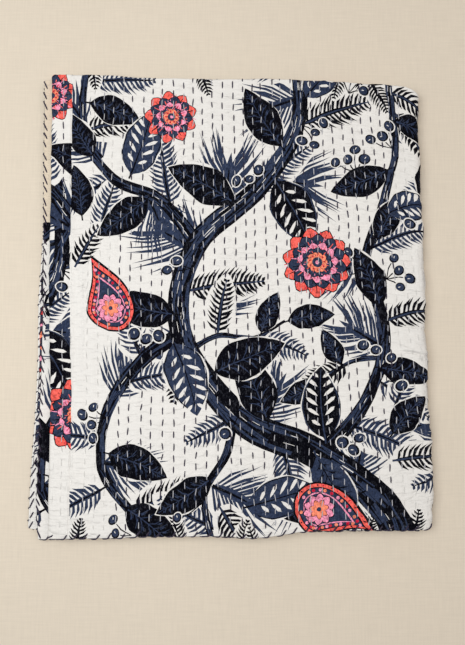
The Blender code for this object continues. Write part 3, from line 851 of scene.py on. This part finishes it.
spots, triangles = usedOnly(spots, triangles)
backHems = hems[2:5:2]
backMesh = meshPlane(mergeLines(acrossLine.stops(meshing["backAcross"]), backHems, wide - backHems),
                     mergeLines(alongLine.stops(meshing["backAlong"]), backHems, long - backHems))
backSpots, backTriangles = usedOnly(*backMesh[:2])
rim, rimAt = rimOf(spots, triangles)
backRim, backRimAt = rimOf(backSpots, backTriangles)
outward = unit((spots[rim] > np.array((wide, long)) - 1e-5) * 1.0 - (spots[rim] < 1e-5))
rimSpots = spots[rim] + outward * meshing["rimRound"]
ringStart, backStart = len(spots), len(spots) + len(rim)
nextOne = np.roll(np.arange(len(rim)), -1)
rimTriangles = np.vstack([np.stack([rim, ringStart + np.arange(len(rim)), ringStart + nextOne], 1),
                          np.stack([rim, ringStart + nextOne, rim[nextOne]], 1)])
zipped, i, j = [], 0, 0
while i < len(rim) or j < len(backRim):  # the ring and the other face's edge have different points
    here, there = ringStart + i % len(rim), backStart + backRim[j % len(backRim)]
    if j == len(backRim) or (i < len(rim) and np.append(rimAt, 1e9)[i + 1] <= np.append(backRimAt, 1e9)[j + 1]):
        i += 1
        zipped.append((here, there, ringStart + i % len(rim)))
    else:
        j += 1
        zipped.append((here, there, backStart + backRim[j % len(backRim)]))
zipped = np.array(zipped)
corners = np.vstack([triangles, rimTriangles, zipped, backTriangles[:, ::-1] + backStart])
places = np.vstack([spots, rimSpots, backSpots])
sides = np.repeat([1.0, 0.0, -1.0], [len(spots), len(rim), len(backSpots)])
points = onQuilt(places[:, 0], places[:, 1], sides)
outWays = lookingOut(places[:, 0], places[:, 1], np.where(sides == 0, 1.0, sides))
level = np.zeros(len(rim))
rimWays = unit(onQuilt(*(spots[rim] + outward * 0.001).T, level) - onQuilt(*spots[rim].T, level))
outWays[ringStart:backStart] = rimWays
outWays[rim] += 0.6 * rimWays
outWays = unit(outWays)

# colours: a paint for each triangle, and whether it is ink
linear = np.array([[((c / 255 + 0.055) / 1.055) ** 2.4 for c in paints[name]] + [1.0] for name in paintNames])
inked = np.array([0.0 if name in ("ground", "cream") else 1.0 for name in paintNames])
ownerOfRim = {}
for n in np.nonzero(np.isin(triangles, rim).sum(1) == 2)[0]:
    for a, b in zip(triangles[n], np.roll(triangles[n], -1)):
        ownerOfRim[int(a), int(b)] = faceColours[n]
rimColours = [ownerOfRim.get((int(rim[n]), int(rim[nextOne[n]])), 0) for n in range(len(rim))]
plain = np.zeros(len(zipped) + len(backTriangles))
triangleColours = np.concatenate([faceColours, rimColours, rimColours, plain]).astype(int)
cornerColours = np.repeat(triangleColours, 3)

# where each part of the cloth lies on its map: s and v of the part, scale, and place on the map
bakeParts = ((sAt[3], sAt[6], 0, vAt[2], 1.18, 0.004, 0.004), (0, 0.035, 0, vAt[2], 1.18, 0.712, 0.004),
             (wide - 0.035, wide, vAt[2], vAt[3], 1.18, 0.760, 0.004), (sAt[6], wide, 0, vAt[2], 0.33, 0.810, 0.004),
             (0.035, sAt[3], vAt[1], vAt[2], 0.80, 0.004, 0.832), (0.035, sAt[3], 0, 0.020, 0.80, 0.004, 0.845),
             (0, wide, long - 0.020, long, 0.43, 0.004, 0.872), (0, 0.035, vAt[2], long, 0.35, 0.900, 0.245),
             (wide - 0.035, wide, vAt[3], long, 0.35, 0.920, 0.245), (sAt[3], wide, vAt[2], long, 0.07, 0.810, 0.245),
             (0, sAt[3], 0, long, 0.07, 0.810, 0.445))
backPart = (0, wide, 0, long, 0.04, 0.004, 0.887)


def bakePlaces():
    uv = np.zeros((len(corners), 3, 2))
    centre = places[corners].mean(1)
    back = np.arange(len(corners)) >= len(triangles) + len(rimTriangles)
    done = back.copy()
    spread = places.copy()
    spread[ringStart:backStart] += outward * 0.0012
    for s0, s1, v0, v1, scale, u, w in bakeParts:
        here = ~done & (centre > (s0 - 0.001, v0 - 0.001)).all(1) & (centre < (s1 + 0.001, v1 + 0.001)).all(1)
        uv[here] = (spread[corners[here]] - (s0, v0)) * scale + (u, w)
        done |= here
    s0, s1, v0, v1, scale, u, w = backPart
    uv[back] = (spread[corners[back]] - (s0, v0)) * (-scale, scale) + (u + wide * scale, w)
    return uv


def addMesh(name, points, faces, material, values=()):
    # values are the mesh's own attributes: name, kind, domain, the field to fill and its numbers
    mesh = bpy.data.meshes.new(name)
    mesh.from_pydata(np.asarray(points).tolist(), [], np.asarray(faces).tolist())
    for label, kind, domain, field, numbers in values:
        filled = mesh.attributes.new(label, kind, domain)
        filled.data.foreach_set(field, np.asarray(numbers, dtype=np.float32).ravel())
    mesh.materials.append(material)
    made = bpy.data.objects.new(name, mesh)
    scene.collection.objects.link(made)
    return made


def giveMap(mesh, uv):
    mesh.uv_layers.new(name="OFBake").data.foreach_set("uv", np.asarray(uv, dtype=np.float32).ravel())


print("cloth closed:", len(corners), "triangles")


# finishes: sums on values become Math nodes; every other node comes from node()
class Value:
    def __init__(self, tree, socket=None):
        self.tree, self.socket = tree, socket

    def node(self, kind, settings=None, sockets=None, out=0):
        made = self.tree.nodes.new(kind)
        for name, setting in (settings or {}).items():
            if name == "stops":  # of a colour ramp
                for place, shade in setting[len(made.color_ramp.elements):]:
                    made.color_ramp.elements.new(place)
                for element, (place, shade) in zip(made.color_ramp.elements, setting):
                    element.position, element.color = place, (shade, shade, shade, 1)
            else:
                setattr(made, name, setting)
        for name, given in (sockets or {}).items():
            if isinstance(given, Value):
                self.tree.links.new(given.socket, made.inputs[name])
            else:
                made.inputs[name].default_value = given
        return Value(self.tree, made.outputs[out])

    def math(self, operation, a, b=0.0):
        return self.node("ShaderNodeMath", dict(operation=operation), {0: a, 1: b})

    def __add__(self, other):
        return self.math("ADD", self, other)

    def __sub__(self, other):
        return self.math("SUBTRACT", self, other)

    def __mul__(self, other):
        return self.math("MULTIPLY", self, other)

    def __rsub__(self, other):
        return self.math("SUBTRACT", other, self)

    __radd__, __rmul__ = __add__, __mul__


def finish(name, roughness, **settings):
    # a new material: the start of its node sums, and its shader
    material = bpy.data.materials.new(name)
    material.use_nodes = True
    shader = material.node_tree.nodes["Principled BSDF"]
    shader.inputs["Roughness"].default_value = roughness
    for socket, setting in settings.items():
        shader.inputs[socket.replace("_", " ")].default_value = setting
    return material, Value(material.node_tree), shader


def parted(tree, vector):
    # the first two parts of a vector
    first = tree.node("ShaderNodeSeparateXYZ", None, {0: vector})
    return first, Value(tree.tree, first.socket.node.outputs[1])


def mixed(tree, factor, a, b, blend="MIX"):
    return tree.node("ShaderNodeMix", dict(data_type="RGBA", blend_type=blend),
                     {"Factor": factor, 6: a, 7: b}, out=2)


def noise(tree, place, scale, stretch=(1, 1, 1), detail=2.0, roughness=0.5):
    sizes = tuple(scale * k for k in stretch)
    moved = tree.node("ShaderNodeVectorMath", dict(operation="MULTIPLY"), {0: place, 1: sizes})
    settings = {"Vector": moved, "Scale": 1.0, "Detail": detail, "Roughness": roughness}
    return tree.node("ShaderNodeTexNoise", None, settings)


def crossed(tree, place, scale, thin):
    # streaks both along and across
    return noise(tree, place, scale, (1, thin, 1)) * 0.5 + noise(tree, place, scale, (thin, 1, 1)) * 0.5


def attribute(tree, name, out):
    # out is 0 for a colour, 1 for a vector and 2 for a number
    return tree.node("ShaderNodeAttribute", dict(attribute_name=name), out=out)


def connect(tree, value, shader, socket):
    tree.tree.links.new(value.socket, shader.inputs[socket])


def raised(tree, height, shader):
    bump = tree.node("ShaderNodeBump", None, {"Strength": 1.0, "Distance": 1.0, "Height": height})
    connect(tree, bump, shader, "Normal")


cotton = dict(weave=0.00052, weaveHeight=0.00003, slubScale=700, slubHeight=0.00007, slubShade=0.20, cloudScale=9,
              cloudShade=0.07, darkest=0.135, crinkleScale=190, crinkleHeight=0.0020, wrinkleScale=62,
              wrinkleHalf=0.07, wrinkleDepth=0.00062, inkGrain=0.24, wornInk=(0.15, 0.16, 0.20, 1), grainScale=560,
              dryScale=60, dryShare=0.28, wornStops=((0.52, 0.0), (0.68, 1.0)), fleckScale=420, inkFlecks=2.2,
              roughness=0.80, slubRoughness=0.12)


def makeCotton():
    material, tree, shader = finish("printedCotton", 0.86, Specular_IOR_Level=0.03)
    place, colour = attribute(tree, "clothPlace", 1), attribute(tree, "printColour", 0)
    ink = attribute(tree, "inkCover", 2)
    # the ink is thin in places, so the cloth's threads show through it
    grain = noise(tree, place, cotton["grainScale"], (1, 0.5, 1), 2.0, 0.7)
    dry = noise(tree, place, cotton["dryScale"], (1, 1, 1), 3.0, 0.6)
    both = grain * (1 - cotton["dryShare"]) + dry * cotton["dryShare"]
    worn = tree.node("ShaderNodeValToRGB", dict(stops=cotton["wornStops"]), {"Fac": both})
    printed = mixed(tree, worn * ink * cotton["inkGrain"], colour, cotton["wornInk"])
    # unevenness of the cotton itself, from broad cloudiness to slubs along both ways of the weave
    cloudy = noise(tree, place, cotton["cloudScale"], (1, 1, 1), 3.0, 0.6)
    slubs = crossed(tree, place, cotton["slubScale"], 0.035)
    flecks = noise(tree, place, cotton["fleckScale"], (1, 0.7, 1), 2.0, 0.6) - 0.5
    shade = (cloudy * cotton["cloudShade"] + slubs * cotton["slubShade"] + flecks * ink * cotton["inkFlecks"]
             + (1 - cotton["darkest"]))
    grey = tree.node("ShaderNodeCombineColor", None, {0: shade, 1: shade, 2: shade})
    connect(tree, mixed(tree, 1.0, printed, grey, "MULTIPLY"), shader, "Base Color")
    # height: the weave, slubs and the small crinkles that the relief is too coarse for
    x, y = parted(tree, place)
    threads = 2 * math.pi / cotton["weave"]
    weave = tree.math("SINE", x * threads) * tree.math("SINE", y * threads)
    crinkle = noise(tree, place, cotton["crinkleScale"], (0.42, 1, 1), 2.0, 0.55)
    # fine wrinkles are the places where a slow noise, drawn out across the rows, passes its middle
    slow = noise(tree, place, cotton["wrinkleScale"], (0.36, 1, 1), 2.0, 0.5)
    wrinkle = tree.math("MINIMUM", tree.math("ABSOLUTE", slow - 0.5) * (1 / cotton["wrinkleHalf"]), 1.0)
    raised(tree, weave * cotton["weaveHeight"] + slubs * cotton["slubHeight"] + crinkle * cotton["crinkleHeight"]
           + wrinkle * cotton["wrinkleDepth"], shader)
    connect(tree, slubs * cotton["slubRoughness"] + cotton["roughness"], shader, "Roughness")
    return material


def makeThread(name, colour, fuzzAndHighlightTint):
    # two plies of cotton twisted together: threadPlace is the length along the thread and the share round it
    material, tree, shader = finish(name, 0.8, Sheen_Weight=0.15, Specular_IOR_Level=0.25)
    place = attribute(tree, "threadPlace", 1)
    along, around = parted(tree, place)
    twist = tree.math("SINE", along * (2 * math.pi / thread["twist"]) + around * (4 * math.pi))
    fuzz = noise(tree, place, 1, (900, 3, 200), 2.0, 0.6)
    # the colour turns to the paler tint where the twist raises the plies, a painted highlight on their crests, and
    # where the fuzz has paler fibres
    connect(tree, mixed(tree, twist * 0.3 + fuzz * 0.5, colour, fuzzAndHighlightTint), shader, "Base Color")
    raised(tree, twist * thread["twistHeight"], shader)
    return material


values = (("clothPlace", "FLOAT_VECTOR", "POINT", "vector", np.column_stack([places, sides * 0.001])),
          ("printColour", "FLOAT_COLOR", "CORNER", "color", linear[cornerColours]),
          ("inkCover", "FLOAT", "CORNER", "value", inked[cornerColours]))
quilt = addMesh("quiltCloth", points, corners, makeCotton(), values)
giveMap(quilt.data, bakePlaces())
quilt.data.shade_smooth()
quilt.data.normals_split_custom_set_from_vertices(outWays.tolist())
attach(quilt, "root")
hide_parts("quilt")
print("cloth made")


# threads: one mesh for many short tubes that follow the cloth
def addThreads(name, paths, radii, sides, material):
    # paths is an array: thread, point along it, x y z
    count, steps = paths.shape[:2]
    along = unit(np.gradient(paths, axis=1))
    normal = np.cross(along[:, 0], (0.31, 0.17, 0.93))
    rings = []
    for n in range(steps):
        normal = unit(normal - (normal * along[:, n]).sum(1)[:, None] * along[:, n])
        other = np.cross(along[:, n], normal)
        for k in range(sides):
            a = 2 * math.pi * k / sides
            rings.append(paths[:, n] + radii[n] * (math.cos(a) * normal + math.sin(a) * other))
    rings += [paths[:, 0] - along[:, 0] * radii[0] * 0.5, paths[:, -1] + along[:, -1] * radii[-1] * 0.5]
    points = np.stack(rings, 1)  # thread, point of its tube, x y z
    each = steps * sides + 2
    length = np.concatenate([[0], np.cumsum(np.linalg.norm(np.diff(paths[0], axis=0), axis=1))])
    faces, uv = [], []  # of one thread; u is counted in steps along it, and w round it
    for n in range(steps - 1):
        for k in range(sides):
            a, b = n * sides + k, n * sides + (k + 1) % sides
            faces += [(a, a + sides, b + sides), (a, b + sides, b)]
            uv += [(n + 1, k), (n + 2, k), (n + 2, k + 1), (n + 1, k), (n + 2, k + 1), (n + 1, k + 1)]
    last = (steps - 1) * sides
    for k in range(sides):
        faces += [(each - 2, k, (k + 1) % sides), (each - 1, last + (k + 1) % sides, last + k)]
        uv += [(0.2, k + 0.5), (1, k), (1, k + 1), (steps + 0.8, k + 0.5), (steps, k + 1), (steps, k)]
    allFaces = (np.array(faces)[None] + np.arange(count)[:, None, None] * each).reshape(-1, 3)
    grid = math.ceil(math.sqrt(count))
    cell = np.stack([np.arange(count) % grid, np.arange(count) // grid], 1)
    allUv = (cell[:, None] + 0.06 + 0.88 * (np.array(uv) / (steps + 1, sides))[None]) / grid
    lengths = np.concatenate([np.repeat(length, sides), [0, length[-1]]])
    shares = np.concatenate([np.tile(np.arange(sides) / sides, steps), [0, 0]])
    number = np.arange(count)[:, None]
    spot = np.stack(np.broadcast_arrays(lengths + 0.011 * number, shares, number * 0.37 % 5), 2)
    values = (("threadPlace", "FLOAT_VECTOR", "POINT", "vector", spot),)
    piece = addMesh(name, points.reshape(-1, 3), allFaces, material, values)
    giveMap(piece.data, allUv)
    piece.data.shade_smooth()
    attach(piece, "root")
    return piece


def pathsOnQuilt(s, v, side, lift):
    # many paths at once: each argument is thread by point
    shape = np.broadcast(s, v, side, lift).shape
    flat = [np.broadcast_to(a, shape).ravel().astype(float) for a in (s, v, side, lift)]
    return onQuilt(*flat).reshape(*shape, 3)


def runningStitches():
    # the middle of each dash: along every row, over the head fold, on the underside and in the plies that show
    dashes = []
    pitch = stitch["pitch"]
    for n in range(len(rowXs)):
        for y in np.arange(rowPhase[n] - pitch / 2 - halfL, halfL + 0.012, pitch):
            if y + faceV > 0.012 and rowPlace(n, y) < rightFold + 0.009:
                dashes.append((rowPlace(n, y) + faceS, y + faceV))
    for s in np.arange(sAt[6] + 0.010, wide - 0.04, relief["rowPitch"]):
        first = dice.uniform(0.012, 0.03)
        dashes += [(s, v) for v in np.arange(first, vAt[2] - 0.004, pitch)]
    for s in np.arange(0.012, sAt[3] - 0.01, relief["rowPitch"]):
        dashes.append((s, (vAt[1] + vAt[2]) / 2 + dice.uniform(-0.003, 0.003)))
    dashes = np.array(dashes)
    dashes[:, 1] += dice.normal(0, 0.0007, len(dashes))
    return dashes


# colours of each thread, its own and a paler tint for its fuzz and for the painted highlight on its ply crests, and
# the length of one turn of its plies
thread = dict(plumThread=((0.020, 0.013, 0.034, 1), (0.062, 0.046, 0.092, 1)),
              paleThread=((0.45, 0.45, 0.49, 1), (0.71, 0.71, 0.75, 1)),
              whiteThread=((0.70, 0.69, 0.67, 1), (0.86, 0.85, 0.83, 1)), twist=0.0016, twistHeight=0.00012)
dashes = runningStitches()
t = np.linspace(0, 1, stitch["points"])
size = stitch["dash"] * dice.uniform(0.86, 1.12, len(dashes))
lean = dice.normal(0, stitch["slant"], len(dashes))
dashS = dashes[:, :1] + lean[:, None] * (2 * t - 1) + 0.00012 * np.sin(3 * t + dashes[:, :1] * 900)
dashV = dashes[:, 1:] + size[:, None] * (t - 0.5)
dashLift = stitch["lift"] - stitch["sink"] * np.abs(2 * t - 1) ** 5 - 0.0001 * (dashes[:, :1] > sAt[6])
radii = stitch["radius"] * (0.55 + 0.45 * np.sin(math.pi * np.clip(t, 0.04, 0.96)) ** 0.4)
paint = paintAt(dashes)
onInk = (paint > 0) & (paint != paintNames.index("cream"))
# on the face, the first few rows and the last ones are sewn in white on white, except high on the strip
whiteTo = relief["rowFirstX"] + (stitch["whiteRows"] - 0.5) * relief["rowPitch"] + faceS
onWhite = (dashes[:, 0] < whiteTo) | (dashes[:, 0] > stitch["whiteFrom"] + faceS)
onWhite &= (dashes[:, 0] > seamS) | (dashes[:, 1] < stitch["stripDark"] + faceV)
onWhite &= (dashes[:, 0] > sAt[3]) & (dashes[:, 0] < sAt[6]) & ~onInk
paths = pathsOnQuilt(dashS, dashV, 1.0, dashLift)
darkThread, paleThread, whiteThread = [makeThread(name, *thread[name])
                                       for name in ("plumThread", "paleThread", "whiteThread")]
darkRows, paleRows, whiteRows = [
    addThreads(name, paths[where], radii * thick, stitch["sides"], material) for name, where, thick, material in (
        ("runningStitchesDark", ~(onInk | onWhite), 1.22, darkThread),
        ("runningStitchesPale", onInk, 0.88, paleThread),
        ("runningStitchesWhite", onWhite, 0.62, whiteThread))]
print("running stitches:", len(dashes))

# the hems are whipped: a stitch slants in from the rim, its tail lies along the rim and it goes under
whip = dict(footPitch=0.0182, sidePitch=0.0160, radius=0.00110, sides=6,
            widths=(0.5, 0.85, 1, 1, 1, 0.95, 0.9, 0.8, 0.7, 0.5),
            foot=dict(inn=(0.0068, 0.0060, 0.0044, 0.0026, 0.0008, -0.0006, -0.0010, -0.0010, -0.0008, -0.0002),
                      along=(0.0052, 0.0044, 0.0030, 0.0016, 0.0004, -0.0012, -0.0032, -0.0054, -0.0074, -0.0090),
                      side=(1, 1, 1, 1, 1, 0.8, 0.5, 0.2, -0.2, -0.8)),
            left=dict(inn=(0.0042, 0.0036, 0.0026, 0.0015, 0.0004, -0.0007, -0.0010, -0.0006, 0.0006, 0.0014),
                      along=(-0.0098, -0.0084, -0.0060, -0.0034, -0.0010, 0.0006, 0.0014, 0.0018, 0.0020, 0.0022),
                      side=(1, 1, 1, 1, 1, 0.7, 0, -0.7, -1, -1)),
            lift=(-0.0006, 0.0003, 0.0006, 0.0007, 0.0006, 0.0003, 0, 0, -0.0001, -0.0003))


def whipPaths(places, shape, onFoot, fromStart):
    # places along the hem; onFoot hems run across the cloth, the others along it
    size = dice.uniform(0.82, 1.18, len(places))[:, None]
    inward = np.array(shape["inn"])[None] * np.where(np.array(shape["inn"]) > 0, size, 1)
    along = places[:, None] + np.array(shape["along"])[None] * size * dice.uniform(0.85, 1.2, len(places))[:, None]
    inward = inward if fromStart else (long if onFoot else wide) - inward
    side, lift = np.array(shape["side"]), np.array(whip["lift"])
    return pathsOnQuilt(along, inward, side, lift) if onFoot else pathsOnQuilt(inward, along, side, lift)


def spacedAlong(start, stop, pitch):
    places = np.arange(start, stop, pitch)
    return places + dice.normal(0, pitch * 0.10, len(places))


hemPaths = np.vstack([whipPaths(spacedAlong(0.01, size - 0.01, whip[pitch]), whip[shape], shape == "foot", fromStart)
                      for shape, pitch, size in (("foot", "footPitch", wide), ("left", "sidePitch", long))
                      for fromStart in (True, False)])
hemRows = addThreads("whipStitches", hemPaths, whip["radius"] * np.array(whip["widths"]), whip["sides"], darkThread)
print("whip stitches:", len(hemPaths))

# floor and light
studio = dict(floor=(0.750, 0.668, 0.556, 1), floorDark=(0.600, 0.5344, 0.4448, 1), floorSize=6.0,
              cloudScale=2.5, cloudShade=0.25, threadScale=420, threadShade=1.1, shadeFrom=0.37,
              sky=(1, 0.985, 0.96, 1), world=0.35,
              key=dict(place=(-0.58, 0.06, 1.36), size=0.9, energy=13.4, colour=(0.985, 1, 0.99)),
              fill=dict(place=(1.2, 0.3, 2.5), size=3.0, energy=29, colour=(1, 0.92, 0.865)))


def makeFloor():
    material, tree, shader = finish("paleFloor", 0.9, Specular_IOR_Level=0.15)
    place = tree.node("ShaderNodeTexCoord", None, None, out=3)
    cloud = noise(tree, place, studio["cloudScale"], (1, 1, 1), 3.0)
    threads = crossed(tree, place, studio["threadScale"], 0.06)
    shade = cloud * studio["cloudShade"] + threads * studio["threadShade"] - studio["shadeFrom"]
    connect(tree, mixed(tree, shade, studio["floor"], studio["floorDark"]), shader, "Base Color")
    half = studio["floorSize"] / 2
    places = [(x, y, 0) for x, y in box((-half, half), (-half, half))]
    floor = addMesh("floor", places, [(0, 1, 2, 3)], material)


def addLight(name, place, size, energy, colour):
    data = bpy.data.lights.new(name, "AREA")
    data.size, data.energy, data.color = size, energy, colour
    lamp = bpy.data.objects.new(name, data)
    lamp.location = place
    lamp.rotation_euler = (-Vector(place)).to_track_quat("-Z", "Y").to_euler()
    scene.collection.objects.link(lamp)


makeFloor()
addLight("keyLight", **studio["key"])
addLight("fillLight", **studio["fill"])
world = bpy.data.worlds.new("studio")
world.use_nodes = True
sky = world.node_tree.nodes["Background"]
sky.inputs["Color"].default_value, sky.inputs["Strength"].default_value = studio["sky"], studio["world"]
scene.world = world
scene.view_settings.view_transform = "Standard"
print("floor and light ready")
